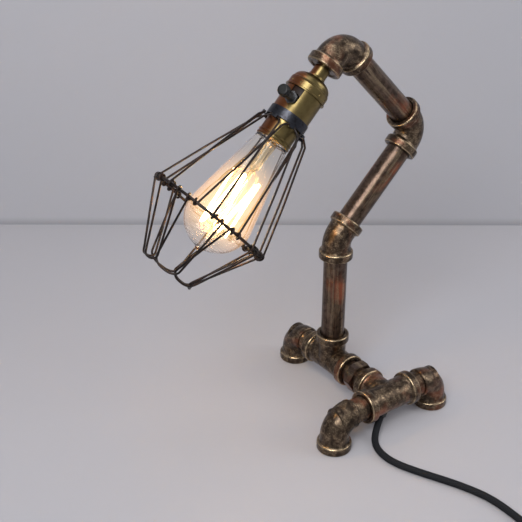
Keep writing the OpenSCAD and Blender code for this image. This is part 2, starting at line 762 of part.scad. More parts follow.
// One hairpin of the upper cage: wrap, leg, bow, leg, wrap
function hairpin(k) = let (
    mid = side_at(k),
    low = wrap(between(k - 1) - cross_span, -leg_slope, wrap_turn, -wrap_step),
    high = wrap(between(k) + cross_span, 180 - leg_slope, -wrap_turn, wrap_step),
    bow = [for (a = [180:-20:0]) let (
            x = pow(cos(a), 3),
            r = hook_r + bow_flare*(1 - sin(a)) - bow_skew*x
        ) around(mid + bow_span*cos(a), r, hook_z + bow_h*(1 - sin(a)))]
) concat(leaning(backward(with_stub(low, 2.6))), bow, leaning(with_stub(high, 2.6)));

// One petal of the lower cage, between hairpins k and k + 1
function petal(k) = let (
    low = wrap(side_at(k) + petal_gap, petal_slope, -wrap_turn, wrap_step),
    high = wrap(side_at(k + 1) - petal_gap, 180 + petal_slope, wrap_turn, -wrap_step),
    mid = between(k),
    half = (side_at(k + 1) - side_at(k))/2 + 2.5,
    bow = [for (a = [180:-20:0]) let (
            x = sign(cos(a))*pow(abs(cos(a)), 0.8),
            z = mouth_z - 5.5*(1 - sin(a)),
            r = mouth_r + (mouth_z - z)*tan(petal_slope)
        ) around(mid + half*x, r - (wire_d/2 + 0.3)*x, z)]
) leaning(concat(backward(with_stub(low, 2.2)), bow, with_stub(high, 2.2)));

module cage_upper_wires() color(dark_wire) along_head()
    for (k = [0:cage_sides - 1]) wire(hairpin(k), wire_d/2, 6);

module cage_lower_wires() color(dark_wire) along_head()
    for (k = [0:cage_sides - 1]) wire(petal(k), wire_d/2, 6);

module cage_ring() color(dark_wire) along_head() translate([0, 0, collar_end])
    rotate(a = cage_lean, v = [-sin(lean_at), cos(lean_at), 0]) translate([0, 0, ring_drop])
        rotate_extrude($fn = 128) translate([ring_r, 0]) circle(d = ring_d, $fn = 24);

// Round section of the collar and its hooks between two angles
module strip(from, span, outline) rotate([0, 0, from]) rotate_extrude(angle = span) polygon(outline);

ear_gap = 1.6;
ear_t = 1.6;
ear_l = 8;

module cage_collar() color([0.18, 0.19, 0.22]) along_head() {
    half = asin((ear_gap/2 + ear_t/2)/(collar_r + collar_t));
    strip(clamp_at + half, 360 - 2*half, [
        [collar_r, collar_top], [collar_r + collar_t, collar_top],
        [collar_r + collar_t, collar_end], [collar_r, collar_end]
    ]);
    for (side = [-1, 1]) rotate([0, 0, clamp_at]) difference() {
        translate([collar_r + 0.15, side > 0 ? ear_gap/2 : -ear_gap/2 - ear_t, collar_top + 0.3])
            cube([ear_l, ear_t, collar_h - 0.6]);
        ear_bolt() translate([0, 0, -10]) cylinder(d = 3.3, h = 20, $fn = 32);
    }
    for (k = [0:cage_sides - 1]) strip(side_at(k) - 6, 12, [
        [collar_r + 0.05, collar_end - 0.5], [collar_r + collar_t - 0.05, collar_end - 0.5],
        [collar_r + collar_t - 0.05, hook_z + 1.15], [hook_r + 1.1, hook_z + 1.15],
        [hook_r + 1.1, hook_z - 0.6], [hook_r + 1.9, hook_z - 0.6],
        [hook_r + 1.9, hook_z + 1.95], [collar_r + 0.05, hook_z + 1.95]
    ]);
}

// +Z runs across the collar's two ears
module ear_bolt() translate([collar_r + 5.2, 0, (collar_top + collar_end)/2])
    rotate([-90, 0, 0]) children();

module collar_screw() color("silver") along_head() rotate([0, 0, clamp_at]) ear_bolt() {
    grip = ear_gap/2 + ear_t;
    difference() {
        translate([0, 0, -grip - 2.1]) cylinder(d = 5.4, h = 2);
        translate([-3, -0.4, -grip - 3.2]) cube([6, 0.8, 2]);
    }
    translate([0, 0, -grip - 0.2]) cylinder(d = 3, h = 2*grip + 3.4, $fn = 32);
}

module collar_nut() color("silver") along_head() rotate([0, 0, clamp_at]) ear_bolt()
    translate([0, 0, ear_gap/2 + ear_t + 0.1]) difference() {
        cylinder(d = 5.5/cos(30), h = 2.2, $fn = 6);
        translate([0, 0, -1]) cylinder(d = 3.1, h = 5, $fn = 32);
    }

// ---------- Cord ----------

module cord() color(black) wire(cord_points, cord_r, 8);

module cord_tail() color(black) wire(tail_points, cord_r, 8);

// Spiral in on the table, climb in half a turn, spiral out on top. Clockwise from +X
coil_route = let (
    steps = 24,
    wound = coil_turns*steps,
    climb = steps/2
) concat(
    [[coil_at.x + coil_out, coil_at.y + cord_d, cord_r]],
    [for (i = [0:2*wound + climb]) let (
        on_top = max(0, i - wound - climb),
        r = i <= wound ? coil_out - coil_pitch*i/steps : coil_in + coil_pitch*on_top/steps,
        lift = min(1, max(0, (i - wound)/climb)),
        a = -360*i/steps
    ) [coil_at.x + r*cos(a), coil_at.y + r*sin(a), cord_r + layer_h*(1 - cos(180*lift))/2]],
    [[coil_at.x - coil_out, coil_at.y + cord_d, cord_r + layer_h]]
);

module cord_coil() color(black) wire(coil_route, cord_r, 6);

function route_length(p) = len(p) < 2 ? 0
    : [for (i = [1:len(p) - 1]) norm(p[i] - p[i - 1])]*[for (i = [1:len(p) - 1]) 1];

// Least gap of the coil to itself, between points over half a turn apart
coil_self_gap = min([
    for (i = [0:len(coil_route) - 1], j = [i + 12:1:len(coil_route) - 1])
        norm(coil_route[i] - coil_route[j])
]) - cord_d;
echo(cord_length = route_length(cord_points) + route_length(coil_route) + route_length(tail_points));
echo(coil_self_gap = coil_self_gap);

// +Z runs from the cord to the pins
module along_plug() {
    end = tail_points[len(tail_points) - 1];
    heading = end - tail_points[len(tail_points) - 2];
    translate(end) rotate([-90, 0, atan2(-heading.x, heading.y)]) children();
}

module plug_body() color(black) difference() {
    along_plug() {
        cylinder(r1 = cord_r + 0.6, r2 = cord_r + 1.6, h = 14);
        hull() {
            translate([0, 0, 12]) cube([12, 9, 1], center = true);
            translate([0, 0, 22]) cube([32, 13, 1], center = true);
            translate([0, 0, 33]) cube([35, 13.6, 1], center = true);
            translate([0, 0, 37]) cube([30, 13.6, 1], center = true);
        }
    }
    for (side = [-1, 1]) along_plug() translate([side*9.3, 0, 31]) cylinder(r = 2.05, h = 20);
}

module plug_pins() color("silver") for (side = [-1, 1]) along_plug()
    translate([side*9.3, 0, 31.1]) {
        cylinder(r = 2, h = 24);
        translate([0, 0, 24]) intersection() {
            sphere(r = 2.02);
            cylinder(r = 3, h = 3);
        }
    }

base_tee_rear();
base_tee_front();
hex_nipple();
foot_elbow_rear();
foot_elbow_left();
foot_elbow_right();
cord_grommet();
flex_base();
riser_pipe();
lower_elbow_45();
middle_pipe();
flex_column();
middle_elbow();
upper_pipe();
flex_arm();
top_elbow();
top_bush();
lamp_nipple();
nipple_nut();
flex_head();
holder_cap();
cap_grub_screw();
holder_shell();
shell_liner();
switch_block();
terminal_screws();
screw_shell();
centre_contact();
switch_bush();
switch_nut();
switch_stem();
switch_cam();
switch_knob();
cage_collar();
collar_screw();
collar_nut();
cage_upper_wires();
cage_ring();
cage_lower_wires();
bulb_glass();
bulb_cap();
bulb_contact();
bulb_stem();
bulb_filament();
cord();
cord_coil();
cord_tail();
plug_body();
plug_pins();
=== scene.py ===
import math
import bpy
from mathutils import Matrix, Vector


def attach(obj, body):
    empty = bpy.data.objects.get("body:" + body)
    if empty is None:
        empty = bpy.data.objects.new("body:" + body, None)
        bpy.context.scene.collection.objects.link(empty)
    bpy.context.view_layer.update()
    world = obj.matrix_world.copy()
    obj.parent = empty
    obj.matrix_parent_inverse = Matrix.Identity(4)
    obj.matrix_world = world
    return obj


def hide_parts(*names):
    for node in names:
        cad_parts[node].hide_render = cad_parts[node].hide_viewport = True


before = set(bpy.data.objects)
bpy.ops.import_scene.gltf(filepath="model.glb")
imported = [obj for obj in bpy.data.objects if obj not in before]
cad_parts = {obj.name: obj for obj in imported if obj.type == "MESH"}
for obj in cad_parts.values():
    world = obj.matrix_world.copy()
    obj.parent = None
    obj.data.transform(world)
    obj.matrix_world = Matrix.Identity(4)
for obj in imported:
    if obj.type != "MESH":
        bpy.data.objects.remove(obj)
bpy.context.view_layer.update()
print("frame loaded:", len(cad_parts), "nodes")

mm = 0.001
scene = bpy.context.scene


# camera, as the photograph sees the lamp

cameraView = {
    "azimuth": -35.49,
    "elevation": 27.86,
    "roll": 0.1,
    "focalPixels": 975.72,
    "imagePixels": 522,
    "sensor": 36.0,
    "target": (-0.06629, -0.03495, 0.18521),
    "distance": 0.75217,
}


def placeCamera(view):
    az, el, roll = (math.radians(view[k]) for k in ("azimuth", "elevation", "roll"))
    back = Vector((math.sin(az) * math.cos(el), -math.cos(az) * math.cos(el), math.sin(el)))
    level = Vector((math.cos(az), math.sin(az), 0))
    right = level * math.cos(roll) + back.cross(level) * math.sin(roll)
    data = bpy.data.cameras.new("photoCamera")
    data.sensor_width = view["sensor"]
    data.lens = view["focalPixels"] / view["imagePixels"] * view["sensor"]
    camera = bpy.data.objects.new("photoCamera", data)
    turn = Matrix((right, back.cross(right), back)).transposed()
    camera.matrix_world = Matrix.Translation(
        Vector(view["target"]) + back * view["distance"]) @ turn.to_4x4()
    scene.collection.objects.link(camera)
    scene.camera = camera


placeCamera(cameraView)


# mesh helpers

def meshPiece(name, points, faces, smoothAngle=40):
    mesh = bpy.data.meshes.new(name)
    mesh.from_pydata([tuple(p) for p in points], [], faces)
    mesh.validate()
    mesh.shade_smooth()
    mesh.set_sharp_from_angle(angle=math.radians(smoothAngle))
    piece = bpy.data.objects.new(name, mesh)
    scene.collection.objects.link(piece)
    return piece


# a smooth line through the points of a route
def smoothRoute(points, steps):
    line = []
    ends = [points[0] * 2 - points[1]] + points + [points[-1] * 2 - points[-2]]
    for a, b, c, d in zip(ends, ends[1:], ends[2:], ends[3:]):
        spans = [max((q - p).length, 1e-9) ** 0.5 for p, q in ((a, b), (b, c), (c, d))]
        inHandle = ((b - a) / spans[0] - (c - a) / (spans[0] + spans[1])) * spans[1] + (c - b)
        outHandle = ((d - c) / spans[2] - (d - b) / (spans[1] + spans[2])) * spans[1] + (c - b)
        for i in range(steps):
            t = i / steps
            line.append(b * (2 * t**3 - 3 * t**2 + 1) + inHandle * (t**3 - 2 * t**2 + t)
                        + c * (3 * t**2 - 2 * t**3) + outHandle * (t**3 - t**2))
    return line + [points[-1]]


# a closed tube along line, with a map: u runs along it and v round it
def tubePiece(name, line, radius, sides):
    count = len(line)
    points, along = [], [0.0]
    side = (line[1] - line[0]).orthogonal().normalized()
    for i, p in enumerate(line):
        ahead = line[min(i + 1, count - 1)] - line[max(i - 1, 0)]
        heading = ahead.normalized()
        side = (side - heading * side.dot(heading)).normalized()
        up = heading.cross(side)
        for k in range(sides):
            turn = 2 * math.pi * k / sides
            points.append(p + (side * math.cos(turn) + up * math.sin(turn)) * radius)
        if i:
            along.append(along[-1] + (p - line[i - 1]).length)
    faces, corners = [], []
    for i in range(count - 1):
        for k in range(sides):
            a, b = i * sides + k, i * sides + (k + 1) % sides
            faces.append((a, b, b + sides, a + sides))
            u0, u1 = along[i] / radius, along[i + 1] / radius
            v0, v1 = k / sides, (k + 1) / sides
            corners += [(u0, v0), (u0, v1), (u1, v1), (u1, v0)]
    for ring, flip in ((0, True), (count - 1, False)):
        cap = [ring * sides + k for k in range(sides)]
        faces.append(tuple(reversed(cap)) if flip else tuple(cap))
        corners += [(along[ring] / radius, 0)] * sides
    piece = meshPiece(name, points, faces)
    uv = piece.data.uv_layers.new(name="alongTube")
    for i, corner in enumerate(corners):
        uv.data[i].uv = corner
    return piece


# the cord: out of the front tee, over the table and into a coil beyond the view

cordSizes = {
    "diameter": 6.0,
    "coilCentre": (0.0, -306.0),
    "coilTurns": 3,
    "coilInside": 24.6,
    "coilPitch": 7.5,
    "layerHeight": 6.7,
    "stepsPerTurn": 24,
}

cordPoints = [
    (37.5, -71.3, 14.8), (34.4, -72.7, 11.4), (31.2, -74.4, 8.5), (27.7, -76.8, 6),
    (24.2, -79.8, 4.2), (21, -83.4, 3.2), (18.2, -87.6, 3), (16, -92.4, 3),
    (14.6, -97.6, 3), (14, -103, 3), (14.2, -109, 3), (15.3, -115, 3),
    (17.3, -121.5, 3), (20, -128, 3), (23.2, -135, 3), (26.6, -142, 3),
    (30.2, -149, 3), (34, -156.5, 3), (37.6, -164, 3), (41, -172, 3),
    (44, -180, 3), (46.4, -188, 3), (48, -197, 3), (48.6, -206, 3),
    (48.6, -216, 3), (48.2, -228, 3), (47.7, -242, 3), (47.3, -258, 3),
    (47.1, -274, 3), (47.1, -287, 3), (47.1, -300, 3),
]
tailPoints = [
    (-47.1, -300, 9.7), (-47.1, -293, 9.7), (-47.1, -285, 8.6), (-47.2, -276, 6.2),
    (-47.7, -267, 4.1), (-49, -257, 3.1), (-51.6, -246, 3.2), (-55.2, -236, 4.1),
    (-59.4, -227, 5.6), (-63.8, -218.7, 6.8), (-67.9, -211.8, 7), (-71, -206.6, 7),
]


def coilPoints(size):
    x, y = size["coilCentre"]
    radius = size["diameter"] / 2
    steps = size["stepsPerTurn"]
    outside = size["coilInside"] + size["coilTurns"] * size["coilPitch"]
    wound, climb = size["coilTurns"] * steps, steps // 2
    points = []
    for i in range(2 * wound + climb + 1):
        onTop = max(0, i - wound - climb)
        lift = min(1, max(0, (i - wound) / climb))
        r = (outside - size["coilPitch"] * i / steps if i <= wound
             else size["coilInside"] + size["coilPitch"] * onTop / steps)
        turn = -2 * math.pi * i / steps
        z = radius + size["layerHeight"] * (1 - math.cos(math.pi * lift)) / 2
        points.append((x + r * math.cos(turn), y + r * math.sin(turn), z))
    return points


def makeCord():
    route = [Vector(p) * mm for p in cordPoints + coilPoints(cordSizes) + tailPoints]
    line = smoothRoute(route, 4)
    cord = tubePiece("braidedCord", line, cordSizes["diameter"] / 2 * mm, sides=16)
    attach(cord, "base")
    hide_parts("cord", "cord_coil", "cord_tail")
    length = sum((b - a).length for a, b in zip(line, line[1:]))
    return cord, line, length


cordPiece, cordLine, cordLength = makeCord()
print("cord made, length", round(cordLength, 3))


# the fittings' centres: spans run from centre to centre, along the pipes

lampSizes = {
    "riserX": 48.0,
    "riserY": 11.0,
    "teeHeight": 28.0,
    "frontTeeY": -66.0,
    "rearFootY": 66.0,
    "leftFootX": -10.6,
    "rightFootX": 103.0,
    "riserSpan": 125.6,
    "middleSpan": 120.6,
    "upperSpan": 126.1,
}
leanOut = Vector((1, 0, 1)).normalized()
leanBack = Vector((-1, 0, 1)).normalized()


def placeFittings(size):
    x, y, z = size["riserX"], size["riserY"], size["teeHeight"]
    lower = Vector((x, y, z + size["riserSpan"]))
    middle = lower + leanOut * size["middleSpan"]
    return {
        "base_tee_rear": Vector((x, y, z)),
        "base_tee_front": Vector((x, size["frontTeeY"], z)),
        "foot_elbow_rear": Vector((x, size["rearFootY"], z)),
        "foot_elbow_left": Vector((size["leftFootX"], size["frontTeeY"], z)),
        "foot_elbow_right": Vector((size["rightFootX"], size["frontTeeY"], z)),
        "lower_elbow_45": lower,
        "middle_elbow": middle,
        "top_elbow": middle + leanBack * size["upperSpan"],
    }


fittingCentres = placeFittings(lampSizes)


# the lamp holder's frame: +Z runs out of the top elbow along the holder

elbowTurn = math.radians(1)
headZ = Vector((-math.cos(elbowTurn), -math.sin(elbowTurn) * math.sqrt(2),
                -math.cos(elbowTurn))).normalized()
headX = leanBack
headY = headZ.cross(headX)


def fromHead(x, y, z):
    return (fittingCentres["top_elbow"] + headX * x + headY * y + headZ * z) * mm


# wire cage, as smooth round wire on the route of the modelled wires

cageSizes = {
    "sides": 7,
    "wire": 1.8,
    "rod": 2.4,
    "ringRadius": 51.5,
    "collarEnd": 79.5,
    "ringDrop": 94.3,
    "mouthDrop": 54.0,
    "mouthRadius": 22.5,
    "lean": 4.0,
    "leanAt": 44.0,
    "hookRadius": 18.6,
    "hookRise": 0.8,
    "bowHeight": 6.0,
    "bowFlare": 4.6,
    "bowSpan": 20.0,
    "bowSkew": 1.1,
    "wrapGap": 0.1,
    "wrapStep": 2.7,
    "wrapTurn": 300,
    "crossSpan": 8.5,
    "hairpinStub": 2.6,
    "petalStub": 2.2,
    "petalBow": 5.5,
    "petalOverlap": 2.5,
    "petalClear": 0.3,
    "petalGap": 5.0,
    "handBend": 6.0,
    "firstSide": -66.0,
}


def cosine(degrees):
    return math.cos(math.radians(degrees))


def sine(degrees):
    return math.sin(math.radians(degrees))


def around(angle, r, z):
    return Vector((r * cosine(angle), r * sine(angle), z))


def leaningPoint(p, size):
    side = Vector((cosine(size["leanAt"]), sine(size["leanAt"]), 0))
    out, down = p.dot(side), p.z - size["collarEnd"]
    lean = size["lean"]
    shift = side * (out * (cosine(lean) - 1) + down * sine(lean))
    return p + shift + Vector((0, 0, down * (cosine(lean) - 1) - out * sine(lean)))


def sideAt(k, size):
    even = 360 * k / size["sides"]
    return size["firstSide"] + even - size["handBend"] * sine(even)


def between(k, size):
    return (sideAt(k, size) + sideAt(k + 1, size)) / 2


# a wrap round the ring, which ends in a short straight stub
def wrapPoints(angle, start, turn, step, stub, size):
    radius = (size["rod"] + size["wire"]) / 2 + size["wrapGap"]
    ringZ = size["collarEnd"] + size["ringDrop"]
    points = []
    for i in range(abs(turn) // 15 + 1):
        a = start + math.copysign(15 * i, turn)
        place = around(angle, size["ringRadius"] + radius * cosine(a), ringZ + radius * sine(a))
        points.append(place + Vector((-sine(angle), cosine(angle), 0)) * (step * i * 15 / 360))
    return points + [points[-1] + (points[-1] - points[-2]).normalized() * stub]


def hairpinPoints(k, size):
    hookZ = size["collarEnd"] + size["hookRise"]
    ringZ = size["collarEnd"] + size["ringDrop"]
    slope = math.degrees(math.atan2(size["ringRadius"] - size["hookRadius"] - size["bowFlare"],
                                    ringZ - hookZ - size["bowHeight"]))
    cross, turn, step = size["crossSpan"], size["wrapTurn"], size["wrapStep"]
    stub = size["hairpinStub"]
    low = wrapPoints(between(k - 1, size) - cross, -slope, turn, -step, stub, size)
    high = wrapPoints(between(k, size) + cross, 180 - slope, -turn, step, stub, size)
    bow = []
    for a in range(180, -1, -10):
        x = cosine(a) ** 3
        r = size["hookRadius"] + size["bowFlare"] * (1 - sine(a)) - size["bowSkew"] * x
        bow.append(around(sideAt(k, size) + size["bowSpan"] * cosine(a), r,
                          hookZ + size["bowHeight"] * (1 - sine(a))))
    return ([leaningPoint(p, size) for p in reversed(low)] + bow
            + [leaningPoint(p, size) for p in high])


def petalPoints(k, size):
    drop = size["mouthDrop"]
    mouthZ = size["collarEnd"] + size["ringDrop"] + drop
    slope = math.degrees(math.atan2(size["ringRadius"] - size["mouthRadius"], drop))
    gap, turn, step = size["petalGap"], size["wrapTurn"], size["wrapStep"]
    stub = size["petalStub"]
    low = wrapPoints(sideAt(k, size) + gap, slope, -turn, step, stub, size)
    high = wrapPoints(sideAt(k + 1, size) - gap, 180 + slope, turn, -step, stub, size)
    half = (sideAt(k + 1, size) - sideAt(k, size)) / 2 + size["petalOverlap"]
    bow = []
    for a in range(180, -1, -10):
        x = math.copysign(abs(cosine(a)) ** 0.8, cosine(a)) if a != 90 else 0
        z = mouthZ - size["petalBow"] * (1 - sine(a))
        r = size["mouthRadius"] + (mouthZ - z) * math.tan(math.radians(slope))
        shift = (size["wire"] / 2 + size["petalClear"]) * x
        bow.append(around(between(k, size) + half * x, r - shift, z))
    return [leaningPoint(p, size) for p in list(reversed(low)) + bow + high]


def makeCage(size):
    pieces = []
    for name, route, node in (("hairpin", hairpinPoints, "cage_upper_wires"),
                              ("petal", petalPoints, "cage_lower_wires")):
        for k in range(size["sides"]):
            line = smoothRoute([fromHead(*p) for p in route(k, size)], 2)
            piece = tubePiece(name + str(k + 1), line, size["wire"] / 2 * mm, sides=12)
            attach(piece, "head")
            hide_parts(node)
            pieces.append(piece)
    return pieces


cageWires = makeCage(cageSizes)
print("cage wires made:", len(cageWires))


# filament: one carbon thread, bent into hairpins round the stem

filamentSizes = {
    "strands": 10,
    "radius": 12.5,
    "top": 131.4,
    "end": 179.4,
    "thickness": 1.7,
    "tipRise": 1.2,
    "tipTurn": 5.0,
    "bendRise": 4.8,
    "bendTurn": 6.5,
}


def makeFilament(size):
    points = []
    step = 360 / size["strands"]
    for i in range(size["strands"]):
        a = step * i
        near, far = (size["end"], size["top"]) if i % 2 == 0 else (size["top"], size["end"])
        tip, bend = (math.copysign(size[k], far - near) for k in ("tipRise", "bendRise"))
        for turn, z in ((0, near), (size["tipTurn"], near + tip),
                        (size["bendTurn"], near + bend), (step - size["bendTurn"], far - bend),
                        (step - size["tipTurn"], far - tip)):
            points.append(around(a + turn, size["radius"], z))
    line = smoothRoute([fromHead(*p) for p in points], 4)
    piece = tubePiece("carbonThread", line, size["thickness"] / 2 * mm, sides=10)
    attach(piece, "bulb")
    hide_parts("bulb_filament")
    return piece


filamentPiece = makeFilament(filamentSizes)


# screw threads that show on the feet's legs

threadSizes = {
    "crest": 10.95,
    "root": 10.62,
    "pitch": 1.81,
    "from": 18.2,
    "rowsPerTurn": 12,
    "sides": 64,
    "smoothAngle": 60,
    "legs": (
        ("foot_elbow_left", (1, 0, 0), 30.55),
        ("foot_elbow_right", (-1, 0, 0), 26.95),
        ("foot_elbow_rear", (0, -1, 0), 26.95),
    ),
}


def makeThread(name, foot, along, upTo, size):
    centre, along = fittingCentres[foot], Vector(along)
    side = along.orthogonal().normalized()
    up = along.cross(side)
    length, sides = upTo - size["from"], size["sides"]
    rows = int(length / size["pitch"] * size["rowsPerTurn"])
    points, faces = [], []
    for i in range(rows + 1):
        z = size["from"] + length * i / rows
        for k in range(sides):
            turn = 2 * math.pi * k / sides
            phase = (z / size["pitch"] - k / sides) % 1
            r = size["root"] + (size["crest"] - size["root"]) * (1 - abs(2 * phase - 1))
            points.append((centre + along * z
                           + (side * math.cos(turn) + up * math.sin(turn)) * r) * mm)
    for i in range(rows):
        for k in range(sides):
            n = (k + 1) % sides
            faces.append((i * sides + k, i * sides + n, (i + 1) * sides + n, (i + 1) * sides + k))
    piece = meshPiece(name, points, faces, size["smoothAngle"])
    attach(piece, "base")
    return piece


threadPieces = [makeThread("footThread" + str(i + 1), *leg, threadSizes)
                for i, leg in enumerate(threadSizes["legs"])]
print("filament and threads made")


# shader node groups

def nodeGroup(name, inputs, outputs):
    group = bpy.data.node_groups.new(name, "ShaderNodeTree")
    for label, kind, value in inputs:
        socket = group.interface.new_socket(label, in_out="INPUT", socket_type=kind)
        socket.default_value = value
    for label, kind in outputs:
        group.interface.new_socket(label, in_out="OUTPUT", socket_type=kind)
    return group, group.nodes.new("NodeGroupInput"), group.nodes.new("NodeGroupOutput")


# settings: node properties. values: fixed inputs. links: sockets joined to its inputs
def addNode(tree, kind, settings=None, values=None, links=None):
    node = tree.nodes.new("ShaderNode" + kind)
    for key, value in (settings or {}).items():
        setattr(node, key, value)
    for key, value in (values or {}).items():
        node.inputs[key].default_value = value
    for key, socket in (links or {}).items():
        tree.links.new(socket, node.inputs[key])
    return node


def noiseNode(tree, vector, scale, detail=4.0, roughness=0.55, distortion=0.0):
    return addNode(tree, "TexNoise", values={
        "Scale": scale, "Detail": detail, "Roughness": roughness, "Distortion": distortion,
    }, links={"Vector": vector}).outputs["Fac"]


def stretchRange(tree, value, low, high):
    return addNode(tree, "MapRange", {"interpolation_type": "SMOOTHSTEP"}, {
        "From Min": low, "From Max": high, "To Min": 0.0, "To Max": 1.0,
    }, {"Value": value}).outputs["Result"]


def mathNode(tree, operation, a, b=None, clamp=False):
    node = addNode(tree, "Math", {"operation": operation, "use_clamp": clamp})
    for i, x in enumerate((a, b)):
        if isinstance(x, (int, float)):
            node.inputs[i].default_value = x
        elif x is not None:
            tree.links.new(x, node.inputs[i])
    return node.outputs["Value"]


def mixColour(tree, factor, a, b):
    node = addNode(tree, "Mix", {"data_type": "RGBA"})
    for socket, x in ((node.inputs[0], factor), (node.inputs[6], a), (node.inputs[7], b)):
        if isinstance(x, bpy.types.NodeSocket):
            tree.links.new(x, socket)
        else:
            socket.default_value = x
    return node.outputs[2]


# dark patina rubbed back to gold, with copper patches, drawn streaks and cast grain
def makeAgedMetal():
    group, inside, out = nodeGroup("agedMetal", [
        ("Vector", "NodeSocketVector", (0, 0, 0)),
        ("Streak Vector", "NodeSocketVector", (0, 0, 0)),
        ("Dark", "NodeSocketColor", (0.03, 0.02, 0.015, 1)),
        ("Brown", "NodeSocketColor", (0.14, 0.085, 0.055, 1)),
        ("Gold", "NodeSocketColor", (0.45, 0.33, 0.19, 1)),
        ("Copper", "NodeSocketColor", (0.42, 0.14, 0.07, 1)),
        ("Rubbed", "NodeSocketFloat", 0.5),
        ("Coppered", "NodeSocketFloat", 0.5),
        ("Streaked", "NodeSocketFloat", 0.0),
        ("Edge", "NodeSocketFloat", 0.0),
    ], [("Color", "NodeSocketColor"), ("Roughness", "NodeSocketFloat"),
        ("Height", "NodeSocketFloat")])
    at, along = inside.outputs["Vector"], inside.outputs["Streak Vector"]
    clouds = noiseNode(group, at, 190, 8, 0.68, 0.3)
    blotches = noiseNode(group, at, 26, 3, 0.5, 0.6)
    grain = noiseNode(group, at, 900, 4, 0.65)
    streaks = noiseNode(group, along, 330, 6, 0.66)
    broad = noiseNode(group, along, 70, 3, 0.5)

    brownMask = stretchRange(group, clouds, 0.32, 0.66)
    base = mixColour(group, brownMask, inside.outputs["Dark"], inside.outputs["Brown"])
    copperMask = mathNode(group, "MULTIPLY", stretchRange(group, blotches, 0.52, 0.68),
                          inside.outputs["Coppered"])
    plainPart = mathNode(group, "SUBTRACT", 1.0, inside.outputs["Streaked"])
    copperStreaks = mathNode(group, "MULTIPLY", stretchRange(group, broad, 0.46, 0.62),
                             inside.outputs["Streaked"])
    copperMask = mathNode(group, "MULTIPLY", copperMask,
                          mathNode(group, "ADD", plainPart, copperStreaks))
    coppered = mixColour(group, copperMask, base, inside.outputs["Copper"])
    speckle = stretchRange(group, grain, 0.42, 0.62)
    rub = mathNode(group, "MULTIPLY", stretchRange(group, clouds, 0.44, 0.68), speckle)
    streakRub = mathNode(group, "MULTIPLY", stretchRange(group, streaks, 0.45, 0.66),
                         stretchRange(group, broad, 0.36, 0.62))
    plainRub = mathNode(group, "MULTIPLY", rub, plainPart)
    drawnRub = mathNode(group, "MULTIPLY", streakRub, inside.outputs["Streaked"])
    allRub = mathNode(group, "MULTIPLY", mathNode(group, "ADD", plainRub, drawnRub),
                      inside.outputs["Rubbed"])
    worn = mathNode(group, "ADD", allRub, mathNode(
        group, "MULTIPLY", inside.outputs["Edge"], stretchRange(group, clouds, 0.34, 0.52)),
        clamp=True)
    colour = mixColour(group, worn, coppered, inside.outputs["Gold"])
    group.links.new(colour, out.inputs["Color"])
    rough = mathNode(group, "ADD", 0.20, mathNode(group, "MULTIPLY", clouds, 0.24))
    group.links.new(mathNode(group, "SUBTRACT", rough, mathNode(
        group, "MULTIPLY", worn, 0.12)), out.inputs["Roughness"])
    cast = mathNode(group, "MULTIPLY", grain, plainPart)
    drawn = mathNode(group, "MULTIPLY", streaks, inside.outputs["Streaked"])
    lumps = mathNode(group, "MULTIPLY", clouds, 0.8)
    height = mathNode(group, "ADD", mathNode(group, "ADD", cast, drawn), lumps)
    group.links.new(height, out.inputs["Height"])
    return group


# uneven tone and soft scratches for pressed brass, steel and mouldings
def makeTarnish():
    group, inside, out = nodeGroup("tarnish", [
        ("Vector", "NodeSocketVector", (0, 0, 0)),
        ("Clean", "NodeSocketColor", (0.5, 0.4, 0.2, 1)),
        ("Stained", "NodeSocketColor", (0.2, 0.15, 0.08, 1)),
        ("Amount", "NodeSocketFloat", 0.5),
        ("Gloss", "NodeSocketFloat", 0.3),
        ("Scale", "NodeSocketFloat", 90.0),
    ], [("Color", "NodeSocketColor"), ("Roughness", "NodeSocketFloat"),
        ("Height", "NodeSocketFloat")])
    at = inside.outputs["Vector"]
    cloud = addNode(group, "TexNoise", values={"Detail": 5.0, "Roughness": 0.6},
                    links={"Vector": at, "Scale": inside.outputs["Scale"]}).outputs["Fac"]
    fine = noiseNode(group, at, 1500, 2, 0.5)
    mask = mathNode(group, "MULTIPLY", stretchRange(group, cloud, 0.4, 0.7),
                    inside.outputs["Amount"])
    group.links.new(mixColour(group, mask, inside.outputs["Clean"], inside.outputs["Stained"]),
                    out.inputs["Color"])
    rough = mathNode(group, "ADD", inside.outputs["Gloss"], mathNode(
        group, "MULTIPLY", mathNode(group, "SUBTRACT", cloud, 0.5), 0.25))
    group.links.new(rough, out.inputs["Roughness"])
    group.links.new(mathNode(group, "ADD", cloud, mathNode(group, "MULTIPLY", fine, 0.2)),
                    out.inputs["Height"])
    return group


agedMetal = makeAgedMetal()
tarnish = makeTarnish()


# materials

def newMaterial(name):
    material = bpy.data.materials.new(name)
    material.use_nodes = True
    tree = material.node_tree
    tree.nodes.clear()
    shader = tree.nodes.new("ShaderNodeBsdfPrincipled")
    output = tree.nodes.new("ShaderNodeOutputMaterial")
    tree.links.new(shader.outputs["BSDF"], output.inputs["Surface"])
    at = tree.nodes.new("ShaderNodeTexCoord").outputs["Object"]
    return material, tree, shader, at


def placeGroup(tree, group, values, links):
    node = tree.nodes.new("ShaderNodeGroup")
    node.node_tree = group
    for key, value in values.items():
        node.inputs[key].default_value = value
    for key, socket in links.items():
        tree.links.new(socket, node.inputs[key])
    return node


def bumpFrom(tree, shader, height, strength, distance):
    bump = addNode(tree, "Bump", values={"Strength": strength, "Distance": distance},
                   links={"Height": height})
    tree.links.new(bump.outputs["Normal"], shader.inputs["Normal"])


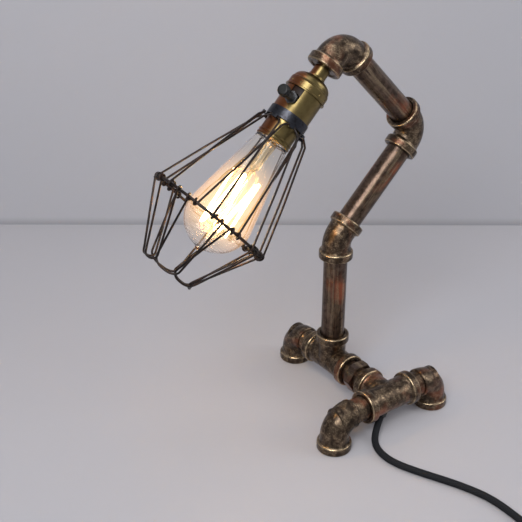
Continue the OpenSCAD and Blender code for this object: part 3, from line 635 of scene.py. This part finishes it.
# along: direction of a drawn pipe, whose streaks run that way
def agedMaterial(name, look, along=None, edgeWear=0.0):
    material, tree, shader, at = newMaterial(name)
    shader.inputs["Metallic"].default_value = look["metallic"]
    links = {"Vector": at}
    values = {k: look[k] for k in ("Dark", "Brown", "Gold", "Copper", "Rubbed", "Coppered")}
    if along is not None:
        turn = Vector((0, 0, 1)).rotation_difference(along).inverted().to_euler()
        mapping = addNode(tree, "Mapping", values={"Rotation": turn}, links={"Vector": at})
        squeezed = addNode(tree, "Mapping", values={"Scale": (1, 1, look["stretch"])},
                           links={"Vector": mapping.outputs["Vector"]})
        links["Streak Vector"] = squeezed.outputs["Vector"]
        values["Streaked"] = 1.0
    if edgeWear:
        edge = addNode(tree, "Attribute", {"attribute_name": "bandWear"})
        links["Edge"] = mathNode(tree, "MULTIPLY", edge.outputs["Fac"], edgeWear)
    node = placeGroup(tree, agedMetal, values, links)
    tree.links.new(node.outputs["Color"], shader.inputs["Base Color"])
    tree.links.new(node.outputs["Roughness"], shader.inputs["Roughness"])
    bumpFrom(tree, shader, node.outputs["Height"], look["bump"], look["bumpDepth"])
    return material


# cast: painted reflection, a second tone on the strip whose normals face both of its directions
# (towards, and front, which points back at the camera); it stays on that side as a reflection
# would
def tarnishedMaterial(name, look):
    material, tree, shader, at = newMaterial(name)
    shader.inputs["Metallic"].default_value = look.get("metallic", 1.0)
    shader.inputs["Specular IOR Level"].default_value = look.get("specular", 0.5)
    node = placeGroup(tree, tarnish, {k: look[k] for k in (
        "Clean", "Stained", "Amount", "Gloss", "Scale")}, {"Vector": at})
    colour, cast = node.outputs["Color"], look.get("cast")
    if cast:
        # painted reflection: world normals that face both directions get the cast colour
        normal = tree.nodes.new("ShaderNodeNewGeometry").outputs["Normal"]
        side, front = (addNode(tree, "VectorMath", {"operation": "DOT_PRODUCT"}, {1: cast[key]},
                               {0: normal}).outputs["Value"] for key in ("towards", "front"))
        band = mathNode(tree, "MULTIPLY", stretchRange(tree, side, 0.22, 0.5),
                        stretchRange(tree, front, -0.45, 0.0))
        mask = mathNode(tree, "MULTIPLY", band, cast["amount"])
        colour = mixColour(tree, mask, colour, cast["colour"])
    tree.links.new(colour, shader.inputs["Base Color"])
    tree.links.new(node.outputs["Roughness"], shader.inputs["Roughness"])
    bumpFrom(tree, shader, node.outputs["Height"], tarnishBump["bump"], tarnishBump["bumpDepth"])
    return material


fittingLook = {
    "metallic": 0.92, "Dark": (0.034, 0.024, 0.017, 1), "Brown": (0.118, 0.082, 0.056, 1),
    "Gold": (0.50, 0.38, 0.24, 1), "Copper": (0.34, 0.11, 0.055, 1), "Rubbed": 0.6,
    "Coppered": 0.6, "bump": 0.55, "bumpDepth": 0.0003,
}
pipeLook = {
    "metallic": 0.92, "Dark": (0.044, 0.029, 0.022, 1), "Brown": (0.120, 0.080, 0.060, 1),
    "Gold": (0.42, 0.32, 0.20, 1), "Copper": (0.30, 0.09, 0.045, 1), "Rubbed": 0.5,
    "Coppered": 0.9, "bump": 0.25, "bumpDepth": 0.0003, "stretch": 0.06,
}
# the side of the holder that gets the painted reflection strip
paintedReflectionSide = (headX * 0.72 + headY * 0.69).normalized()
tarnishBump = {"bump": 0.2, "bumpDepth": 0.0001}
tarnishLooks = {
    "antiqueBrass": {"Clean": (0.20, 0.150, 0.062, 1), "Stained": (0.10, 0.070, 0.030, 1),
                     "Amount": 0.6, "Gloss": 0.32, "Scale": 90.0,
                     # painted reflection: a reddish strip on the holder, fixed in world space
                     "cast": {"towards": tuple(paintedReflectionSide), "front": (-0.51, -0.72, 0.47),
                              "colour": (0.20, 0.062, 0.025, 1), "amount": 0.85}},
    "brightBrass": {"Clean": (0.75, 0.58, 0.28, 1), "Stained": (0.45, 0.32, 0.14, 1),
                    "Amount": 0.4, "Gloss": 0.25, "Scale": 120.0},
    "zincSteel": {"Clean": (0.50, 0.51, 0.54, 1), "Stained": (0.20, 0.19, 0.19, 1),
                  "Amount": 0.6, "Gloss": 0.32, "Scale": 300.0},
    "bluedSteel": {"Clean": (0.048, 0.050, 0.060, 1), "Stained": (0.02, 0.018, 0.02, 1),
                   "Amount": 0.8, "Gloss": 0.34, "Scale": 260.0},
    "darkSteel": {"Clean": (0.10, 0.10, 0.105, 1), "Stained": (0.04, 0.038, 0.038, 1),
                  "Amount": 0.7, "Gloss": 0.35, "Scale": 300.0},
    "cageBlack": {"Clean": (0.014, 0.010, 0.009, 1), "Stained": (0.055, 0.025, 0.014, 1),
                  "Amount": 0.6, "Gloss": 0.4, "Scale": 130.0, "metallic": 0.6},
    "knobBlack": {"Clean": (0.006, 0.006, 0.006, 1), "Stained": (0.012, 0.012, 0.012, 1),
                  "Amount": 0.5, "Gloss": 0.38, "Scale": 400.0, "metallic": 0.0,
                  "specular": 0.25},
    "phenolic": {"Clean": (0.022, 0.011, 0.008, 1), "Stained": (0.012, 0.007, 0.005, 1),
                 "Amount": 0.7, "Gloss": 0.5, "Scale": 240.0, "metallic": 0.0,
                 "specular": 0.2},
    "fibre": {"Clean": (0.035, 0.025, 0.018, 1), "Stained": (0.02, 0.015, 0.011, 1),
              "Amount": 0.6, "Gloss": 0.8, "Scale": 500.0, "metallic": 0.0,
              "specular": 0.2},
    "rubber": {"Clean": (0.016, 0.016, 0.017, 1), "Stained": (0.035, 0.034, 0.033, 1),
               "Amount": 0.5, "Gloss": 0.55, "Scale": 300.0, "metallic": 0.0},
    "pinNickel": {"Clean": (0.78, 0.77, 0.74, 1), "Stained": (0.55, 0.53, 0.5, 1),
                  "Amount": 0.4, "Gloss": 0.2, "Scale": 200.0},
}
finishes = {name: tarnishedMaterial(name, look) for name, look in tarnishLooks.items()}


braidLook = {
    "strands": 12,
    "crossings": 0.9,
    "height": 0.00025,
    "bump": 0.8,
    "hollowShade": (0.004, 0.004, 0.005, 1),
    "raised": (0.013, 0.014, 0.017, 1),
    "roughness": 0.75,
    "specular": 0.2,
}


# braided cover: two sets of strands that cross over and under, with painted shade in the hollows
# between them
def makeBraid():
    material, tree, shader, _ = newMaterial("blackBraid")
    look = braidLook
    uv = addNode(tree, "UVMap", {"uv_map": "alongTube"}).outputs["UV"]
    parts = addNode(tree, "SeparateXYZ", links={"Vector": uv})
    along = mathNode(tree, "MULTIPLY", parts.outputs["X"], look["crossings"])
    around = mathNode(tree, "MULTIPLY", parts.outputs["Y"], look["strands"])
    waves = []
    for operation in ("ADD", "SUBTRACT"):
        phase = mathNode(tree, "MULTIPLY", mathNode(tree, operation, along, around), math.pi)
        waves.append(mathNode(tree, "ABSOLUTE", mathNode(tree, "SINE", phase)))
    weave = mathNode(tree, "MAXIMUM", *waves)
    bumpFrom(tree, shader, weave, look["bump"], look["height"])
    # painted shade: the weave's hollows get the darker colour, the raised strands the lighter one
    tree.links.new(mixColour(tree, stretchRange(tree, weave, 0.6, 1.0),
                             look["hollowShade"], look["raised"]), shader.inputs["Base Color"])
    shader.inputs["Roughness"].default_value = look["roughness"]
    shader.inputs["Specular IOR Level"].default_value = look["specular"]
    return material


# clear glass that lets light reach what is inside it; with a sheen, the glass also gets a painted
# glow
def makeGlass(name, tint, reach, sheen=None):
    material, tree, shader, at = newMaterial(name)
    if sheen:
        # painted glow: the glass emits warm light between the given depths along the holder, with
        # more in the middle of the view (core) than at the rim
        offset = addNode(tree, "VectorMath", {"operation": "SUBTRACT"}, {1: fromHead(0, 0, 0)},
                         {0: at}).outputs["Vector"]
        depth = addNode(tree, "VectorMath", {"operation": "DOT_PRODUCT"}, {1: headZ},
                        {0: offset}).outputs["Value"]
        lit = mathNode(tree, "MULTIPLY", stretchRange(tree, depth, sheen["from"], sheen["full"]),
                       stretchRange(tree, depth, sheen["to"], sheen["fades"]))
        facing = addNode(tree, "LayerWeight", values={"Blend": 0.5}).outputs["Facing"]
        tree.links.new(mixColour(tree, facing, sheen["middle"], sheen["edge"]),
                       shader.inputs["Emission Color"])
        inward = mathNode(tree, "POWER", mathNode(tree, "SUBTRACT", 1.0, facing), 2.0)
        glow = mathNode(tree, "ADD", sheen["rim"],
                        mathNode(tree, "MULTIPLY", inward, sheen["core"]))
        tree.links.new(mathNode(tree, "MULTIPLY", lit, glow),
                       shader.inputs["Emission Strength"])
    shader.inputs["Base Color"].default_value = tint
    shader.inputs["Roughness"].default_value = 0.0
    shader.inputs["IOR"].default_value = 1.45
    shader.inputs["Transmission Weight"].default_value = 1.0
    through = addNode(tree, "BsdfTransparent", values={"Color": reach})
    ray = tree.nodes.new("ShaderNodeLightPath").outputs["Is Shadow Ray"]
    mix = addNode(tree, "MixShader", links={0: ray, 1: shader.outputs["BSDF"],
                                            2: through.outputs["BSDF"]})
    output = next(n for n in tree.nodes if n.type == "OUTPUT_MATERIAL")
    tree.links.new(mix.outputs["Shader"], output.inputs["Surface"])
    return material


def makeGlow(name, colour, strength):
    material, tree, shader, at = newMaterial(name)
    shader.inputs["Base Color"].default_value = (0.9, 0.5, 0.2, 1)
    flicker = stretchRange(tree, noiseNode(tree, at, 180, 2), 0.3, 0.7)
    tree.links.new(mixColour(tree, flicker, colour, (1.0, 0.80, 0.45, 1)),
                   shader.inputs["Emission Color"])
    shader.inputs["Emission Strength"].default_value = strength
    return material


finishes["braid"] = makeBraid()
# painted glow in the bulb glass round the filament
bulbSheen = {
    "from": 0.108, "full": 0.150, "to": 0.200, "fades": 0.165,
    "middle": (1.0, 0.64, 0.24, 1), "edge": (1.0, 0.30, 0.05, 1), "rim": 0.06, "core": 0.22,
}
finishes["bulbGlass"] = makeGlass("bulbGlass", (1.0, 0.975, 0.94, 1), (1.0, 0.95, 0.86, 1),
                                  bulbSheen)
finishes["stemGlass"] = makeGlass("stemGlass", (0.97, 0.80, 0.52, 1), (0.98, 0.92, 0.80, 1))
finishes["filament"] = makeGlow("filamentGlow", (1.0, 0.56, 0.20, 1), 34.0)


def paint(piece, material):
    piece.data.materials.clear()
    piece.data.materials.append(material)


paint(cordPiece, finishes["braid"])
paint(filamentPiece, finishes["filament"])
for wirePiece in cageWires:
    paint(wirePiece, finishes["cageBlack"])

nodeFinish = {
    "antiqueBrass": ["holder_cap", "holder_shell", "lamp_nipple"],
    "brightBrass": ["terminal_screws", "screw_shell", "centre_contact", "bulb_cap"],
    "zincSteel": ["nipple_nut", "cap_grub_screw", "collar_screw", "collar_nut", "switch_stem"],
    "darkSteel": ["switch_bush", "switch_nut"],
    "bluedSteel": ["cage_collar"],
    "cageBlack": ["cage_upper_wires", "cage_ring", "cage_lower_wires"],
    "knobBlack": ["switch_knob"],
    "phenolic": ["switch_block", "switch_cam", "bulb_contact"],
    "fibre": ["shell_liner"],
    "rubber": ["cord_grommet", "flex_base", "flex_column", "flex_arm", "flex_head", "plug_body"],
    "pinNickel": ["plug_pins"],
    "bulbGlass": ["bulb_glass"],
    "stemGlass": ["bulb_stem"],
    "filament": ["bulb_filament"],
}
for finish, names in nodeFinish.items():
    for name in names:
        paint(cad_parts[name], finishes[finish])

fittingMetal = agedMaterial("agedFitting", fittingLook, edgeWear=0.9)
for name in fittingCentres:
    paint(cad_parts[name], fittingMetal)
for piece in threadPieces:
    paint(piece, fittingMetal)


# where the fittings' rounded band edges are worn bright

bandSizes = {
    "outside": 15.2,
    "width": 7.6,
    "rounding": 1.4,
    "nearness": 0.15,
    "brightest": 40.0,
    "spread": 40.0,
}
fittingEnds = {
    "base_tee_rear": (28, ((0, 1, 0), (0, -1, 0), (0, 0, 1))),
    "base_tee_front": (28, ((1, 0, 0), (-1, 0, 0), (0, 1, 0))),
    "foot_elbow_rear": (28, ((0, 0, -1),)),
    "foot_elbow_left": (28, ((0, 0, -1),)),
    "foot_elbow_right": (28, ((0, 0, -1),)),
    "lower_elbow_45": (19, ((0, 0, -1), leanOut)),
    "middle_elbow": (25.5, (-leanOut, leanBack)),
    "top_elbow": (25.5, (-leanBack, headZ)),
}


def wearAt(offset, reach, axes, size):
    middle = size["outside"] - size["rounding"]
    wear = 0.0
    for axis in axes:
        z = offset.dot(Vector(axis))
        r = (offset - Vector(axis) * z).length
        for edge, sign in ((reach - size["rounding"], 1),
                           (reach - size["width"] + size["rounding"], -1)):
            dr, dz = r - middle, (z - edge) * sign
            miss = abs(math.hypot(dr, dz) - size["rounding"])
            if miss < size["nearness"] and dr > 0 and dz > 0:
                turn = math.degrees(math.atan2(dz, dr))
                wear = max(wear, 1 - abs(turn - size["brightest"]) / size["spread"])
    return wear


for name, (reach, axes) in fittingEnds.items():
    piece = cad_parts[name]
    layer = piece.data.attributes.new("bandWear", "FLOAT", "POINT")
    for i, vertex in enumerate(piece.data.vertices):
        offset = piece.matrix_world @ vertex.co / mm - fittingCentres[name]
        layer.data[i].value = wearAt(offset, reach, axes, bandSizes)

pipeRuns = {
    "riser_pipe": Vector((0, 0, 1)), "middle_pipe": leanOut, "upper_pipe": leanBack,
    "hex_nipple": Vector((0, 1, 0)), "top_bush": leanOut,
}
for name, along in pipeRuns.items():
    paint(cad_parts[name], agedMaterial("aged_" + name, pipeLook, along))
print("materials made:", len(bpy.data.materials))


# studio

studio = {
    "floorSize": 8.0,
    "wallBehind": 0.448,
    "wallHeight": 4.0,
    "floorColour": (0.405, 0.395, 0.42, 1),
    "floorRoughness": 0.55,
    "wallColour": (0.43, 0.43, 0.465, 1),
    "wallRoughness": 0.8,
    "wallFoot": 0.012,
    "footShade": 0.72,
    "unevenness": 0.97,
    "worldColour": (0.80, 0.82, 0.86, 1),
    "worldStrength": 0.45,
}


# foot: height below which a wall darkens towards the table, a painted shade in the crease where
# wall meets table
def plainMaterial(name, colour, roughness, size, foot=0.0):
    material, tree, shader, at = newMaterial(name)
    tone = stretchRange(tree, noiseNode(tree, at, 1.3, 2), 0.3, 0.7)
    dim = tuple(c * size["unevenness"] for c in colour[:3]) + (1,)
    shade = mixColour(tree, tone, dim, colour)
    if foot:
        # painted shade: the wall darkens in the crease at its foot
        height = addNode(tree, "SeparateXYZ", links={"Vector": at}).outputs["Z"]
        dark = tuple(c * size["footShade"] for c in colour[:3]) + (1,)
        shade = mixColour(tree, stretchRange(tree, height, 0.0, foot), dark, shade)
    tree.links.new(shade, shader.inputs["Base Color"])
    shader.inputs["Roughness"].default_value = roughness
    return material


def makeStudio(size):
    half = size["floorSize"] / 2
    floor = meshPiece("tableTop", [Vector(p) for p in (
        (-half, -half, 0), (half, -half, 0), (half, half, 0), (-half, half, 0))], [(0, 1, 2, 3)])
    paint(floor, plainMaterial("paleTable", size["floorColour"], size["floorRoughness"], size))
    az = math.radians(cameraView["azimuth"])
    ahead = Vector((-math.sin(az), math.cos(az), 0))
    across = Vector((math.cos(az), math.sin(az), 0)) * half
    foot = Vector(cameraView["target"]) + ahead * size["wallBehind"]
    foot.z = 0
    rise = Vector((0, 0, size["wallHeight"]))
    wall = meshPiece("backWall", [foot - across, foot + across, foot + across + rise,
                                  foot - across + rise], [(0, 1, 2, 3)])
    material = plainMaterial("paleWall", size["wallColour"], size["wallRoughness"], size,
                             foot=size["wallFoot"])
    tree = material.node_tree
    shader = next(n for n in tree.nodes if n.type == "BSDF_PRINCIPLED")
    output = next(n for n in tree.nodes if n.type == "OUTPUT_MATERIAL")
    back = tree.nodes.new("ShaderNodeNewGeometry").outputs["Backfacing"]
    clear = tree.nodes.new("ShaderNodeBsdfTransparent")
    mix = addNode(tree, "MixShader", links={0: back, 1: shader.outputs["BSDF"],
                                            2: clear.outputs["BSDF"]})
    tree.links.new(mix.outputs["Shader"], output.inputs["Surface"])
    paint(wall, material)


# place, aim, size and power of each light
softLights = {
    "keyLight": ((-0.9, -0.7, 1.3), (0, 0, 0.15), (0.8, 0.8), 20),
    "fillLight": ((1.2, -0.9, 0.9), (0, 0, 0.15), (0.8, 0.8), 7),
    "topLight": ((0.1, 0.2, 1.9), (0, 0, 0), (1.2, 1.2), 10),
}


def softLight(name, place, aim, size, power):
    data = bpy.data.lights.new(name, "AREA")
    data.shape = "RECTANGLE"
    data.size, data.size_y = size
    data.energy = power
    light = bpy.data.objects.new(name, data)
    light.location = place
    light.rotation_mode = "QUATERNION"
    light.rotation_quaternion = (Vector(aim) - Vector(place)).to_track_quat("-Z", "Y")
    scene.collection.objects.link(light)


def makeWorld(size):
    world = bpy.data.worlds.new("softRoom")
    world.use_nodes = True
    background = world.node_tree.nodes["Background"]
    background.inputs["Color"].default_value = size["worldColour"]
    background.inputs["Strength"].default_value = size["worldStrength"]
    scene.world = world


makeStudio(studio)
makeWorld(studio)
for name, light in softLights.items():
    softLight(name, *light)
print("studio made")

scene.view_settings.view_transform = "Standard"
